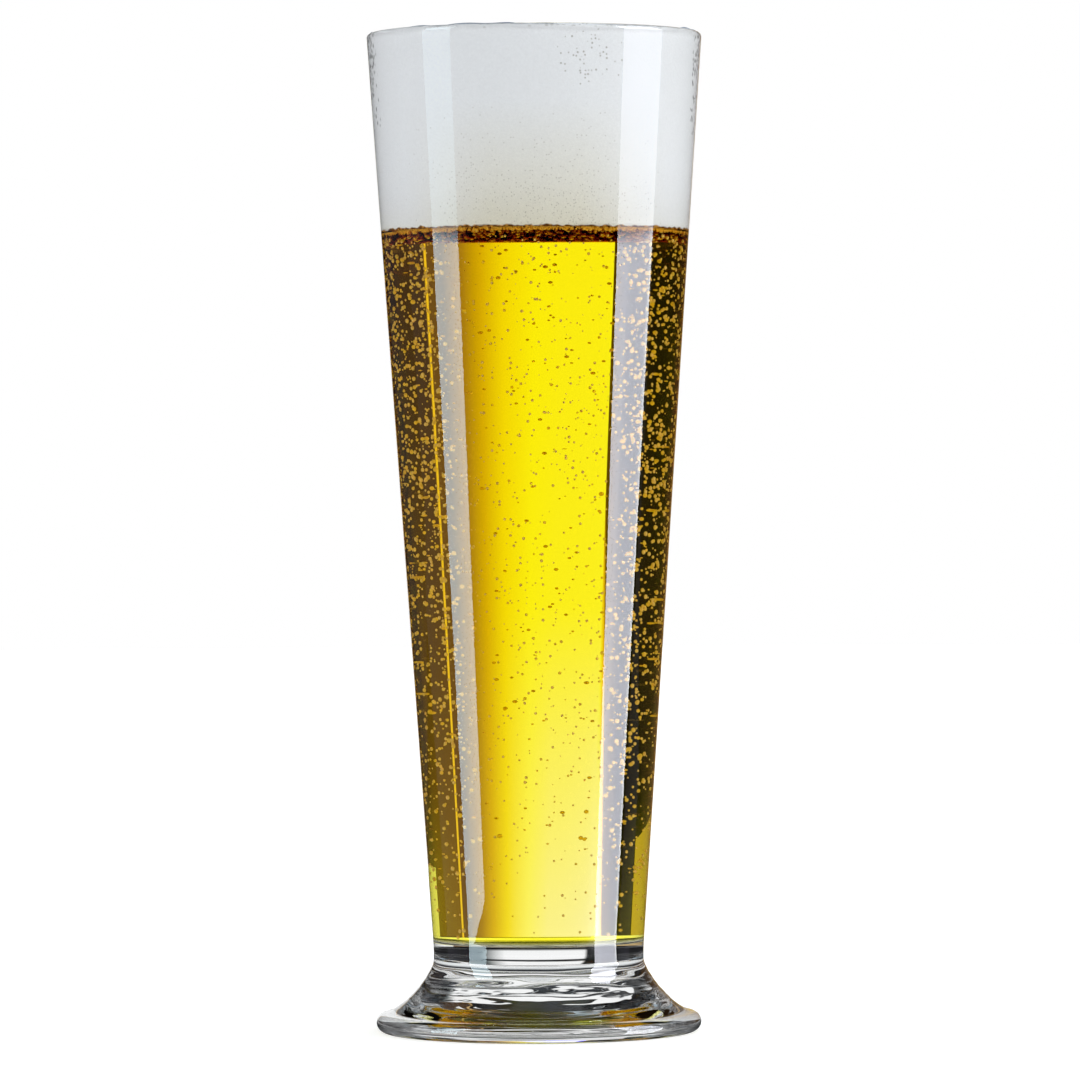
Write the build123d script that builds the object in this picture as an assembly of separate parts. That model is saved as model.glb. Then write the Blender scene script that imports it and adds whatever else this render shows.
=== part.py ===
from build123d import *
import math
import os

# A filled pilsner glass: a tapered bowl fused to a flared foot, holding beer under a head of foam.
# Millimetres and degrees, +Z up. The origin is the centre of the base, on the table.

# Outside of the glass
GLASS_HEIGHT = 210.0
RIM_DIAMETER = 70.4
WAIST_DIAMETER = 44.2
WAIST_HEIGHT = 15.5  # seam where the bowl is fused to the foot
WAIST_BEND = 60.0  # radius that leads the upright waist into the taper
FOOT_DIAMETER = 68.4
FOOT_EDGE = 4.0  # thickness of the foot's rounded edge
FOOT_SLOPE = 8.0  # fall of the foot's top where it meets that edge
FLARE_FROM_WAIST = 3.0  # how far the flare keeps to the waist's upright line
FLARE_TO_EDGE = 4.0  # how far the flare keeps to the foot's slope

# Inside and underside of the glass
RIM_WALL = 1.9
BASE_WALL = 3.4  # wall beside the floor of the well
BASE_THICKNESS = 3.4  # glass between the seam and the floor of the well
WELL_CORNER = 1.2
CONTACT_RING = 4.0  # width of the flat ring that stands on the table
PUNT_DEPTH = 0.8

# Drink
HEAD_DEPTH = 41.6  # foam below the rim
HEAD_CROWN = 1.5  # foam above the rim
COLLAR_DEPTH = 0.8  # coarse wet bubbles between the foam and the beer

# Values that follow from those above
rim_radius = RIM_DIAMETER / 2
rim_round = RIM_WALL / 2
rim_side = GLASS_HEIGHT - rim_round  # height where the round of the rim begins
mouth_radius = rim_radius - RIM_WALL
waist_radius = WAIST_DIAMETER / 2
well_floor = WAIST_HEIGHT + BASE_THICKNESS
well_radius = waist_radius - BASE_WALL
edge_round = FOOT_EDGE / 2
edge_centre = FOOT_DIAMETER / 2 - edge_round
punt_radius = edge_centre - CONTACT_RING
collar_top = GLASS_HEIGHT - HEAD_DEPTH
beer_level = collar_top - COLLAR_DEPTH


def inside_radius(height):
    """Radius of the straight inner wall at a height."""
    rise = (height - well_floor) / (rim_side - well_floor)
    return well_radius + rise * (mouth_radius - well_radius)


def well_outline(top):
    """Inner floor, rounded corner and wall, from the axis up to a height."""
    floor_edge = (well_radius, well_floor)
    return FilletPolyline((0, well_floor), floor_edge, (inside_radius(top), top), radius=WELL_CORNER)


def crown_outline(radius, edge_height, middle_height):
    """Half of a shallow dome, level on the axis, that ends at a radius and a height."""
    rise = middle_height - edge_height
    sphere = (radius**2 + rise**2) / (2 * rise)
    sweep = math.degrees(math.asin(radius / sphere))
    return CenterArc((0, middle_height - sphere), sphere, 90, -sweep)


def turned(*outline):
    """Solid turned about the axis from a closed half outline in radius and height."""
    return revolve(Plane.XZ * make_face(outline), Axis.Z)


def make_bowl():
    """Tapered wall with a fire-polished rim, on a thick base whose underside is the seam."""
    bend_to_rim_x = waist_radius + WAIST_BEND - rim_radius
    bend_to_rim_z = rim_side - WAIST_HEIGHT
    bend_to_rim = math.hypot(bend_to_rim_x, bend_to_rim_z)
    lean = math.atan2(bend_to_rim_z, bend_to_rim_x) - math.acos(WAIST_BEND / bend_to_rim)
    bend = CenterArc((waist_radius + WAIST_BEND, WAIST_HEIGHT), WAIST_BEND, 180, -math.degrees(lean))
    taper = Line(bend @ 1, (rim_radius, rim_side))
    rim = ThreePointArc((rim_radius, rim_side), (rim_radius - rim_round, GLASS_HEIGHT), (mouth_radius, rim_side))
    axis = Line((0, well_floor), (0, WAIST_HEIGHT))
    seam = Line((0, WAIST_HEIGHT), (waist_radius, WAIST_HEIGHT))
    return turned(bend, taper, rim, well_outline(rim_side), axis, seam)


def make_foot():
    """Solid foot that flares from the waist to a bull-nose edge, hollowed by a punt."""
    slope = math.radians(FOOT_SLOPE)
    edge_top_x = edge_centre + edge_round * math.sin(slope)
    edge_top_z = edge_round + edge_round * math.cos(slope)
    flare = Bezier(
        (waist_radius, WAIST_HEIGHT),
        (waist_radius, WAIST_HEIGHT - FLARE_FROM_WAIST),
        (edge_top_x - FLARE_TO_EDGE * math.cos(slope), edge_top_z + FLARE_TO_EDGE * math.sin(slope)),
        (edge_top_x, edge_top_z),
    )
    nose = CenterArc((edge_centre, edge_round), edge_round, 90 - FOOT_SLOPE, FOOT_SLOPE - 180)
    ring = Line((edge_centre, 0), (punt_radius, 0))
    punt = crown_outline(punt_radius, 0, PUNT_DEPTH)
    axis = Line((0, PUNT_DEPTH), (0, WAIST_HEIGHT))
    seam = Line((0, WAIST_HEIGHT), (waist_radius, WAIST_HEIGHT))
    return turned(flare, nose, ring, punt, axis, seam)


def make_beer():
    """Drink that fills the well up to the bubble collar and wets its wall."""
    surface = Line((inside_radius(beer_level), beer_level), (0, beer_level))
    axis = Line((0, beer_level), (0, well_floor))
    return turned(well_outline(beer_level), surface, axis)


def make_collar():
    """Layer of coarse bubbles that floats on the beer, across the whole bowl."""
    underside = Line((0, beer_level), (inside_radius(beer_level), beer_level))
    side = Line(underside @ 1, (inside_radius(collar_top), collar_top))
    top = Line(side @ 1, (0, collar_top))
    axis = Line((0, collar_top), (0, beer_level))
    return turned(underside, side, top, axis)


def make_head():
    """Foam that fills the bowl to the rim and crowns a little above it."""
    underside = Line((0, collar_top), (inside_radius(collar_top), collar_top))
    side = Line(underside @ 1, (mouth_radius, rim_side))
    crown = crown_outline(mouth_radius, rim_side, GLASS_HEIGHT + HEAD_CROWN)
    axis = Line((0, GLASS_HEIGHT + HEAD_CROWN), (0, collar_top))
    return turned(underside, side, crown, axis)


pieces = {
    "glass_bowl": make_bowl(),
    "glass_foot": make_foot(),
    "beer": make_beer(),
    "bubble_collar": make_collar(),
    "foam_head": make_head(),
}

os.makedirs("parts", exist_ok=True)
for node, solid in pieces.items():
    export_step(solid, f"parts/{node}.step")
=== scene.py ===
"""A pilsner glass of beer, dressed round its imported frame. Lengths are in metres.

The clear glass is one turned wall, because the bowl and the foot are fused. Beer, bubble collar and foam
each stand for their own solid. Where beer wets the glass, the wall's inner face carries the whole bend of
the light from glass to beer, so the skin of the beer bends nothing and only the bubbles inside it do.
"""

import logging
import math
from dataclasses import dataclass, field
from enum import Enum
from typing import Any, Callable, Iterable, Sequence

import bmesh
import bpy
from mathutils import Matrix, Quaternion, Vector, noise


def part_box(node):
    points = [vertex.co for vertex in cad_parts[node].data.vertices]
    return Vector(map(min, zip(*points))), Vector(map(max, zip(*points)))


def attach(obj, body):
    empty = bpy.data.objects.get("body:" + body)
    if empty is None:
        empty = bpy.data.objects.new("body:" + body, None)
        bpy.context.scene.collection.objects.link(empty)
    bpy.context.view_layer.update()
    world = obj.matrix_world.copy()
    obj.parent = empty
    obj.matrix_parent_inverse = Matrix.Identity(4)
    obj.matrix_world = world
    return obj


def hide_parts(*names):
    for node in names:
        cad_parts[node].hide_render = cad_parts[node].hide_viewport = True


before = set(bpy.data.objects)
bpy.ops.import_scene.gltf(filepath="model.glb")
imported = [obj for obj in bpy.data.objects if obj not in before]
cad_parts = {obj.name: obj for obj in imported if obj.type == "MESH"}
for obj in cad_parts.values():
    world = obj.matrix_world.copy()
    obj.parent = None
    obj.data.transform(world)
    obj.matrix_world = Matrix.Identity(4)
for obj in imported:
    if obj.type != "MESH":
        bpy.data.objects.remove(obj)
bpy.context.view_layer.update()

LOG = logging.getLogger("pilsner_glass")
MM = 0.001
HAIR = 0.001 * MM
SAME_SPOT = 0.1 * HAIR
BODY = "root"
BEER_BEND = 1.345

# Faces that light crosses where it meets the glass alone, and where it only grazes the drink.
GLASS_FACES = 2
GRAZED_FACES = 4

Point = tuple[float, float]
Place = tuple[float, float, float]
Colour = tuple[float, float, float]
Stops = tuple[tuple[float, Colour], ...]
Socket = bpy.types.NodeSocket

WHITE: Colour = (1.0, 1.0, 1.0)
EVEN: Stops = ((0.0, WHITE), (1.0, WHITE))


def even_steps(start: float, end: float, steps: int) -> list[float]:
    """Evenly spaced values from start to end, both included."""
    return [start + (end - start) * i / steps for i in range(steps + 1)]


def arc(centre: Point, radius: float, start: float, end: float, steps: int) -> list[Point]:
    """Points along a circular arc in the radius and height plane.

    Args:
        centre: Centre of the arc.
        radius: Radius of the arc.
        start: Angle of the first point, in degrees from the radius axis.
        end: Angle of the last point, in degrees.
        steps: Number of equal steps.

    Returns:
        The points from start to end, both included.
    """
    angles = [math.radians(angle) for angle in even_steps(start, end, steps)]
    return [(centre[0] + radius * math.cos(a), centre[1] + radius * math.sin(a)) for a in angles]


def straight(start: Point, end: Point, steps: int) -> list[Point]:
    """Points along a straight line in equal steps, both ends included."""
    return list(zip(even_steps(start[0], end[0], steps), even_steps(start[1], end[1], steps)))


def curve(handles: Sequence[Point], steps: int) -> list[Point]:
    """Points along a cubic Bezier curve.

    Args:
        handles: The two ends with their two handles between them.
        steps: Number of equal steps.

    Returns:
        The points in order, both ends included.
    """
    points = []
    for t in even_steps(0.0, 1.0, steps):
        weights = ((1 - t) ** 3, 3 * t * (1 - t) ** 2, 3 * t * t * (1 - t), t**3)
        points.append(tuple(sum(w * h[k] for w, h in zip(weights, handles)) for k in range(2)))
    return points


def chained(*stretches: Iterable[Point]) -> list[Point]:
    """One outline from stretches that meet end to end.

    Args:
        *stretches: The stretches in order.

    Returns:
        Their points, without the doubled ones.
    """
    outline: list[Point] = []
    for stretch in stretches:
        for point in stretch:
            if not outline or math.dist(outline[-1], point) > SAME_SPOT:
                outline.append(point)
    return outline


def round_path(radius: float, angles: Iterable[float]) -> tuple[Point, ...]:
    """Places round the glass, at angles in degrees from the camera's side."""
    turns = [math.radians(angle) for angle in angles]
    return tuple((radius * math.sin(turn), -radius * math.cos(turn)) for turn in turns)


def flats(*stretches: tuple[float, float, Colour]) -> Stops:
    """Stops of a ramp that holds each colour from its start to its end."""
    return tuple((place, colour) for start, end, colour in stretches for place in (start, end))


def shares(stops: Stops, whole: float) -> Stops:
    """Stops given as lengths, turned into shares of the whole."""
    return tuple((place / whole, colour) for place, colour in stops)


def turned_mesh(
    name: str,
    outline: Sequence[Point],
    segments: int,
    reshape: Callable[[Vector], Vector] | None = None,
    slot_of: Callable[[Point], int] | None = None,
) -> bpy.types.Mesh:
    """A closed, smooth mesh turned about the upright axis.

    Args:
        name: Name of the mesh.
        outline: Radius and height points that start and end on the axis.
        segments: Number of steps round the axis.
        reshape: Optional move of each vertex away from the perfect turned shape.
        slot_of: Optional material slot for the band whose middle is at a radius and height.

    Returns:
        The new mesh, with faces that point outwards.
    """
    shape = bmesh.new()
    rings = []
    for radius, height in outline:
        spots = 1 if radius < SAME_SPOT else segments
        angles = [2 * math.pi * i / segments for i in range(spots)]
        places = [Vector((radius * math.cos(a), radius * math.sin(a), height)) for a in angles]
        rings.append([shape.verts.new(reshape(p) if reshape else p) for p in places])
    for i, (lower, upper) in enumerate(zip(rings, rings[1:])):
        middle = ((outline[i][0] + outline[i + 1][0]) / 2, (outline[i][1] + outline[i + 1][1]) / 2)
        slot = slot_of(middle) if slot_of else 0
        for j in range(segments):
            k = (j + 1) % segments
            lap = ((lower, j), (lower, k), (upper, k), (upper, j))
            corners = [ring[spot % len(ring)] for ring, spot in lap]
            face = shape.faces.new(list(dict.fromkeys(corners)))
            face.material_index = slot
            face.smooth = True
    bmesh.ops.recalc_face_normals(shape, faces=shape.faces)
    return finished_mesh(name, shape)


def finished_mesh(name: str, shape: bmesh.types.BMesh) -> bpy.types.Mesh:
    """A new mesh from a shape under construction, which is freed.

    Args:
        name: Name of the mesh.
        shape: The shape.

    Returns:
        The mesh.
    """
    mesh = bpy.data.meshes.new(name)
    shape.to_mesh(mesh)
    shape.free()
    return mesh


def placed(name: str, data: bpy.types.ID) -> bpy.types.Object:
    """A new object at the origin.

    Args:
        name: Name of the object.
        data: The mesh or the camera that it shows.

    Returns:
        The object, linked into the scene.
    """
    thing = bpy.data.objects.new(name, data)
    bpy.context.scene.collection.objects.link(thing)
    return thing


class Graph:
    """Short calls for laying nodes and links in one node tree."""

    def __init__(self, tree: bpy.types.NodeTree) -> None:
        """Start on a tree."""
        self.tree = tree

    def add(self, kind: str, inputs: dict[Any, Any] | None = None, **settings: Any) -> bpy.types.Node:
        """Add one node.

        Args:
            kind: Blender's name for the node's type.
            inputs: Socket name or number to a plain value, or to a socket that is linked to it. A colour is
                given by its red, green and blue.
            **settings: Properties of the node itself.

        Returns:
            The new node.
        """
        node = self.tree.nodes.new(kind)
        for key, value in settings.items():
            setattr(node, key, value)
        for key, value in (inputs or {}).items():
            socket = node.inputs[key]
            if isinstance(value, Socket):
                self.join(value, socket)
            else:
                socket.default_value = (*value, 1.0) if socket.type == "RGBA" else value
        return node

    def join(self, first: Socket, second: Socket) -> None:
        """Link an output to an input."""
        self.tree.links.new(first, second)

    def math(self, operation: str, *values: Any) -> Socket:
        """Add a math node and return its result."""
        return self.add("ShaderNodeMath", dict(enumerate(values)), operation=operation).outputs[0]

    def product(self, first: Any, *others: Any) -> Socket:
        """Multiply values.

        Args:
            first: The first value.
            *others: What it is multiplied by, in order.

        Returns:
            The product.
        """
        result = first
        for other in others:
            result = self.math("MULTIPLY", result, other)
        return result

    def between(self, low: Any, high: Any, where: Any) -> Socket:
        """A value part of the way from low to high."""
        return self.math("ADD", low, self.product(self.math("SUBTRACT", high, low), where))

    def beyond(self, depth: Socket, count: int) -> Socket:
        """1 where a ray's depth is over a count, 0 elsewhere."""
        return self.math("GREATER_THAN", depth, count + 0.5)

    def within(self, depth: Socket, count: int) -> Socket:
        """1 where a ray's depth is no more than a count, 0 elsewhere."""
        return self.math("LESS_THAN", depth, count + 0.5)

    def ladder(self, value: Socket, start: float, end: float, low: float = 0.0, high: float = 1.0) -> Socket:
        """A number that runs from low to high while a value runs from start to end, and holds outside."""
        steps = {"Value": value, "From Min": start, "From Max": end, "To Min": low, "To Max": high}
        return self.add("ShaderNodeMapRange", steps).outputs["Result"]

    def vector(self, operation: str, *values: Any) -> Socket:
        """Add a vector math node and return its result, which is a number for a length or a distance."""
        node = self.add("ShaderNodeVectorMath", dict(enumerate(values)), operation=operation)
        return node.outputs["Value" if operation in ("LENGTH", "DISTANCE") else "Vector"]

    def part(self, vector: Socket, axis: str) -> Socket:
        """One axis of a vector."""
        return self.add("ShaderNodeSeparateXYZ", {0: vector}).outputs[axis]

    def noise(self, spot: Socket, scale: Any, detail: float = 2.0) -> Socket:
        """Add a noise texture and return its value."""
        inputs = {"Vector": spot, "Scale": scale, "Detail": detail}
        return self.add("ShaderNodeTexNoise", inputs).outputs["Fac"]

    def ramp(self, factor: Socket, stops: Stops) -> Socket:
        """Add a colour ramp.

        Args:
            factor: What drives the ramp.
            stops: Place and colour of each stop, in order.

        Returns:
            The colour that comes out.
        """
        node = self.add("ShaderNodeValToRGB", {"Fac": factor})
        elements = node.color_ramp.elements
        while len(elements) < len(stops):
            elements.new(1.0)
        for element, (place, colour) in zip(elements, stops):
            element.position = place
            element.color = (*colour, 1.0)
        return node.outputs["Color"]

    def mixed(self, factor: Any, first: Any, second: Any, how: str = "MIX") -> Socket:
        """Add a colour mix and return its result."""
        node = self.add("ShaderNodeMix", {0: factor, 6: first, 7: second}, data_type="RGBA", blend_type=how)
        return node.outputs[2]

    def random(self, low: float, high: float, seed: Socket, stream: int) -> Socket:
        """Add one stream of random numbers.

        Args:
            low: Smallest number.
            high: Largest number.
            seed: The tree's own seed.
            stream: What sets this stream apart from the others of the tree.

        Returns:
            The number for each point.
        """
        limits = {2: low, 3: high, 8: self.math("ADD", seed, float(stream))}
        return self.add("FunctionNodeRandomValue", limits, data_type="FLOAT").outputs[1]

    def principled(self, output: bpy.types.Node, inputs: dict[str, Any]) -> None:
        """Add a Principled shader as the material's surface."""
        body = self.add("ShaderNodeBsdfPrincipled", inputs)
        self.join(body.outputs["BSDF"], output.inputs["Surface"])

    def cleared(self, surface: Socket, where: Socket) -> Socket:
        """A surface that is made see-through where a share is 1."""
        gone = self.add("ShaderNodeBsdfTransparent").outputs[0]
        return self.add("ShaderNodeMixShader", {0: where, 1: surface, 2: gone}).outputs[0]


def new_material(name: str) -> tuple[bpy.types.Material, Graph, bpy.types.Node]:
    """An empty node material with its output.

    Args:
        name: Name of the material.

    Returns:
        The material, its graph and its output node.
    """
    material = bpy.data.materials.new(name)
    material.use_nodes = True
    material.node_tree.nodes.clear()
    graph = Graph(material.node_tree)
    return material, graph, graph.add("ShaderNodeOutputMaterial")


def inner_bounce(graph: Graph) -> Socket:
    """1 for light that was reflected inside the glass before it left, 0 for all other light.

    Args:
        graph: Graph of the material or the world that asks.

    Returns:
        The mask.
    """
    ray = graph.add("ShaderNodeLightPath").outputs
    bounced = graph.beyond(ray["Glossy Depth"], 0)
    entered = graph.beyond(ray["Transmission Depth"], 0)
    return graph.product(bounced, entered, graph.within(ray["Diffuse Depth"], 0))


def grain_group() -> bpy.types.NodeTree:
    """The shared grain of wet and glassy surfaces: a slow wander and a fine fleck, both about 0.5.

    Returns:
        The shader node group, with the inputs Wander Scale and Fleck Scale.
    """
    tree = bpy.data.node_groups.new("grain", "ShaderNodeTree")
    for label in ("Wander Scale", "Fleck Scale"):
        tree.interface.new_socket(label, in_out="INPUT", socket_type="NodeSocketFloat")
    for label in ("Wander", "Fleck"):
        tree.interface.new_socket(label, in_out="OUTPUT", socket_type="NodeSocketFloat")
    graph = Graph(tree)
    given = graph.add("NodeGroupInput").outputs
    spot = graph.add("ShaderNodeTexCoord").outputs["Object"]
    wander = graph.noise(spot, given["Wander Scale"])
    fleck = graph.noise(spot, given["Fleck Scale"], 1.0)
    graph.add("NodeGroupOutput", {"Wander": wander, "Fleck": fleck})
    return tree


class Wetting(Enum):
    """What lies on the inner side of a face of the glass."""

    DRY = 0
    WET = 1


@dataclass(frozen=True)
class ClearGlass:
    """Polished clear glass, whose dry and wet faces bend light by different amounts."""

    grain: bpy.types.NodeTree
    bend: float = 1.52
    tint: Colour = (0.985, 0.993, 0.992)
    smear: float = 0.05
    smear_from: float = 0.62
    smear_scale: float = 25.0
    ripple: float = 0.008 * MM
    ripple_scale: float = 60.0

    def material(self, wetting: Wetting) -> bpy.types.Material:
        """The glass material of dry or of wet faces.

        Args:
            wetting: Whether air or beer lies against the faces.

        Returns:
            The material.
        """
        material, graph, output = new_material(f"clear_glass_{wetting.name.lower()}")
        scales = {"Wander Scale": self.ripple_scale, "Fleck Scale": self.smear_scale}
        grain = graph.add("ShaderNodeGroup", scales, node_tree=self.grain).outputs
        smear = graph.math("MAXIMUM", graph.math("SUBTRACT", grain["Fleck"], self.smear_from), 0.0)
        bump = graph.add("ShaderNodeBump", {"Height": grain["Wander"], "Distance": self.ripple})
        graph.principled(
            output,
            {
                "Base Color": self.tint,
                "Roughness": graph.product(smear, self.smear),
                "IOR": self.bend if wetting is Wetting.DRY else self.bend / BEER_BEND,
                "Transmission Weight": 1.0,
                "Normal": bump.outputs["Normal"],
            },
        )
        return material


@dataclass(frozen=True)
class Liquid:
    """Clear coloured drink that darkens with depth; its skin lies against wet glass and bends nothing."""

    name: str
    soaks_up: Colour = (0.5, 3.4, 95.0)

    def material(self) -> bpy.types.Material:
        """The drink, from how much red, green and blue it soaks up in a metre.

        Returns:
            The material.
        """
        material, graph, output = new_material(self.name)
        most = max(self.soaks_up)
        passes = tuple(1 - share / most for share in self.soaks_up)
        skin = {"Base Color": WHITE, "Roughness": 0.0, "IOR": 1.0, "Transmission Weight": 1.0}
        graph.principled(output, skin)
        depth = graph.add("ShaderNodeVolumeAbsorption", {"Color": passes, "Density": most})
        graph.join(depth.outputs["Volume"], output.inputs["Volume"])
        return material


@dataclass(frozen=True)
class Gas:
    """Skin of a gas bubble inside the drink: partly clear, partly a golden shimmer of the light round it."""

    # Painted glint: the golden base colour stands in for the beer's light that the bubble catches.
    skin: Colour = (1.0, 0.66, 0.17)
    clear: float = 0.2
    roughness: float = 0.05

    def material(self) -> bpy.types.Material:
        """The bubble's skin, which bends light from drink to gas.

        Returns:
            The material.
        """
        material, graph, output = new_material("gas_bubble")
        graph.principled(
            output,
            {
                "Base Color": self.skin,
                "Roughness": self.roughness,
                "IOR": BEER_BEND,
                "Transmission Weight": self.clear,
            },
        )
        return material


@dataclass(frozen=True)
class Pits:
    """Round dots, one to a cell: cells in a metre, strength in the middle, radius and core as shares."""

    cells: float
    depth: float
    size: float = 0.36
    core: float = 0.45

    def mask(self, graph: Graph, spot: Socket, density: Any) -> Socket:
        """A mask of the dots.

        Args:
            graph: Graph of the material.
            spot: The point on the piece.
            density: Share of the cells that have a dot.

        Returns:
            The strength of the dot at the point, or 0.
        """
        inputs = {"Vector": spot, "Scale": self.cells}
        cells = graph.add("ShaderNodeTexVoronoi", inputs, feature="F1").outputs
        lot = graph.add("ShaderNodeSeparateColor", {0: cells["Color"]}).outputs[0]
        dot = graph.ladder(cells["Distance"], self.size, self.core * self.size, 0.0, self.depth)
        return graph.product(dot, graph.math("LESS_THAN", lot, density))


@dataclass(frozen=True)
class FoamSpot:
    """Where a point of the foam lies. Sideways is 0 at the front and back and 1 at the left and right."""

    spot: Socket
    height: Socket
    radius: Socket
    sideways: Socket

    @classmethod
    def on(cls, graph: Graph) -> "FoamSpot":
        """Read the point that is being shaded.

        Args:
            graph: Graph of the material.

        Returns:
            The point, with its measures.
        """
        spot = graph.add("ShaderNodeTexCoord").outputs["Object"]
        flat = graph.vector("MULTIPLY", spot, (1.0, 1.0, 0.0))
        sideways = graph.math("ABSOLUTE", graph.part(graph.vector("NORMALIZE", flat), "X"))
        return cls(spot, graph.part(spot, "Z"), graph.vector("LENGTH", flat), sideways)


@dataclass(frozen=True)
class Froth:
    """Foam of fine bubbles: pale and smooth, with dark pits where coarser bubbles lie against the glass.

    Low and high are the heights of its underside and of the rim, and reach is the radius of the mouth. The
    pairs of heights, depths under the rim, insets and turns run from where a share is 0 to where it is 1.
    """

    grain: bpy.types.NodeTree
    low: float
    high: float
    reach: float
    # Painted glow: the next colour, warmer and darker, stands in for the beer's light from below, low in the
    # foam at the front and back.
    painted_beer_glow: Colour = (0.86, 0.83, 0.71)
    pale: Colour = (0.94, 0.95, 0.96)
    pit: Colour = (0.30, 0.27, 0.21)
    hole: Colour = (0.13, 0.13, 0.13)
    # Painted shade: the next colour, blue-grey, stands in for the shade at the foam's lip, at its outer edge
    # from just under the rim's top upwards.
    brim_shade: Colour = (0.24, 0.28, 0.33)
    wet: Colour = (0.16, 0.065, 0.015)
    bead: Colour = (0.62, 0.3, 0.06)
    wander_scale: float = 45.0
    fleck_scale: float = 2200.0
    fleck_shade: Point = (0.93, 1.05)
    relief: float = 0.05 * MM
    beer_glow_height: float = 26.0 * MM
    beer_glow_sides: Point = (0.85, 0.3)
    fine_pits: Pits = Pits(2100.0, 0.45)
    fine_patch: Point = (0.46, 0.62)
    fine_least: float = 0.3
    fine_gain: float = 0.5
    cluster_pits: Pits = Pits(1300.0, 0.6)
    cluster_place: Place = (11.5 * MM, -31.0 * MM, -7.0 * MM)
    cluster_span: Point = (8.0 * MM, 2.0 * MM)
    cluster_share: float = 0.6
    top_pits: Pits = Pits(900.0, 0.3, 0.5)
    top_share: float = 0.55
    side_pits: Pits = Pits(950.0, 0.7, 0.6)
    side_turn: Point = (0.955, 0.985)
    side_depth: Point = (22.0 * MM, 6.0 * MM)
    wall_depth: Point = (0.6 * MM, 1.0 * MM)
    # Where the painted shade at the brim lies: insets from the mouth and depths under the rim.
    brim_inset: Point = (2.5 * MM, 0.8 * MM)
    brim_shade_depth: Point = (0.6 * MM, 0.1 * MM)
    bead_pits: Pits = Pits(1100.0, 1.0, 0.55)
    bead_share: float = 0.8
    ragged: float = 1.2 * MM
    ragged_scale: float = 600.0
    soaked_height: Point = (1.05 * MM, 0.8 * MM)

    def under_rim(self, graph: Graph, place: FoamSpot, depths: Point) -> Socket:
        """A share that grows from one depth under the rim to another."""
        return graph.ladder(place.height, self.high - depths[0], self.high - depths[1])

    def dots(self, graph: Graph, place: FoamSpot, beer_glow: Socket, wander: Socket) -> Socket:
        """Fine pits low in the foam, one loose cluster below the rim, and the froth of the open top.

        Args:
            graph: Graph of the material.
            place: The point.
            beer_glow: Share of the painted warm glow, which stands in for the beer's light low in the foam.
            wander: The grain's slow wander.

        Returns:
            The mask of all of them.
        """
        patch = graph.product(graph.ladder(wander, *self.fine_patch), self.fine_gain)
        fine = graph.product(beer_glow, graph.math("ADD", patch, self.fine_least))
        middle = Vector(self.cluster_place) + Vector((0.0, 0.0, self.high))
        away = graph.vector("DISTANCE", place.spot, tuple(middle))
        cluster = graph.product(graph.ladder(away, *self.cluster_span), self.cluster_share)
        wall = self.under_rim(graph, place, self.wall_depth)
        lots = (
            (self.fine_pits, fine),
            (self.cluster_pits, cluster),
            (self.top_pits, graph.between(self.top_share, 0.0, wall)),
        )
        first, second, third = (pits.mask(graph, place.spot, density) for pits, density in lots)
        return graph.math("MAXIMUM", first, graph.math("MAXIMUM", second, third))

    def holes(self, graph: Graph, place: FoamSpot) -> Socket:
        """Coarse dark pits at the left and the right, high on the wall.

        Args:
            graph: Graph of the material.
            place: The point.

        Returns:
            The mask.
        """
        turned = graph.ladder(place.sideways, *self.side_turn)
        high = self.under_rim(graph, place, self.side_depth)
        wall = self.under_rim(graph, place, self.wall_depth)
        return self.side_pits.mask(graph, place.spot, graph.product(turned, high, wall))

    def soaked(self, graph: Graph, place: FoamSpot, colour: Socket) -> Socket:
        """The foam's colour with its ragged lower edge drenched in beer.

        Args:
            graph: Graph of the material.
            place: The point.
            colour: Colour of the dry foam.

        Returns:
            The colour.
        """
        ragged = graph.noise(place.spot, self.ragged_scale, 1.0)
        edge = graph.math("MULTIPLY_ADD", ragged, self.ragged, place.height)
        start, end = self.soaked_height
        soaked = graph.ladder(edge, self.low + start, self.low + end)
        beads = self.bead_pits.mask(graph, place.spot, self.bead_share)
        return graph.mixed(soaked, colour, graph.mixed(beads, self.wet, self.bead))

    def material(self, name: str) -> bpy.types.Material:
        """The foam, with its tints, pits and fine relief.

        Args:
            name: Name of the material.

        Returns:
            The material.
        """
        material, graph, output = new_material(name)
        place = FoamSpot.on(graph)
        scales = {"Wander Scale": self.wander_scale, "Fleck Scale": self.fleck_scale}
        grain = graph.add("ShaderNodeGroup", scales, node_tree=self.grain).outputs
        # Painted glow: low in the foam at the front and back, a warmer, darker colour stands in for the
        # beer's light from below.
        near_beer = graph.ladder(place.height, self.low + self.beer_glow_height, self.low)
        beer_glow = graph.product(near_beer, graph.ladder(place.sideways, *self.beer_glow_sides))
        dots = self.dots(graph, place, beer_glow, grain["Wander"])
        holes = self.holes(graph, place)
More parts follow.
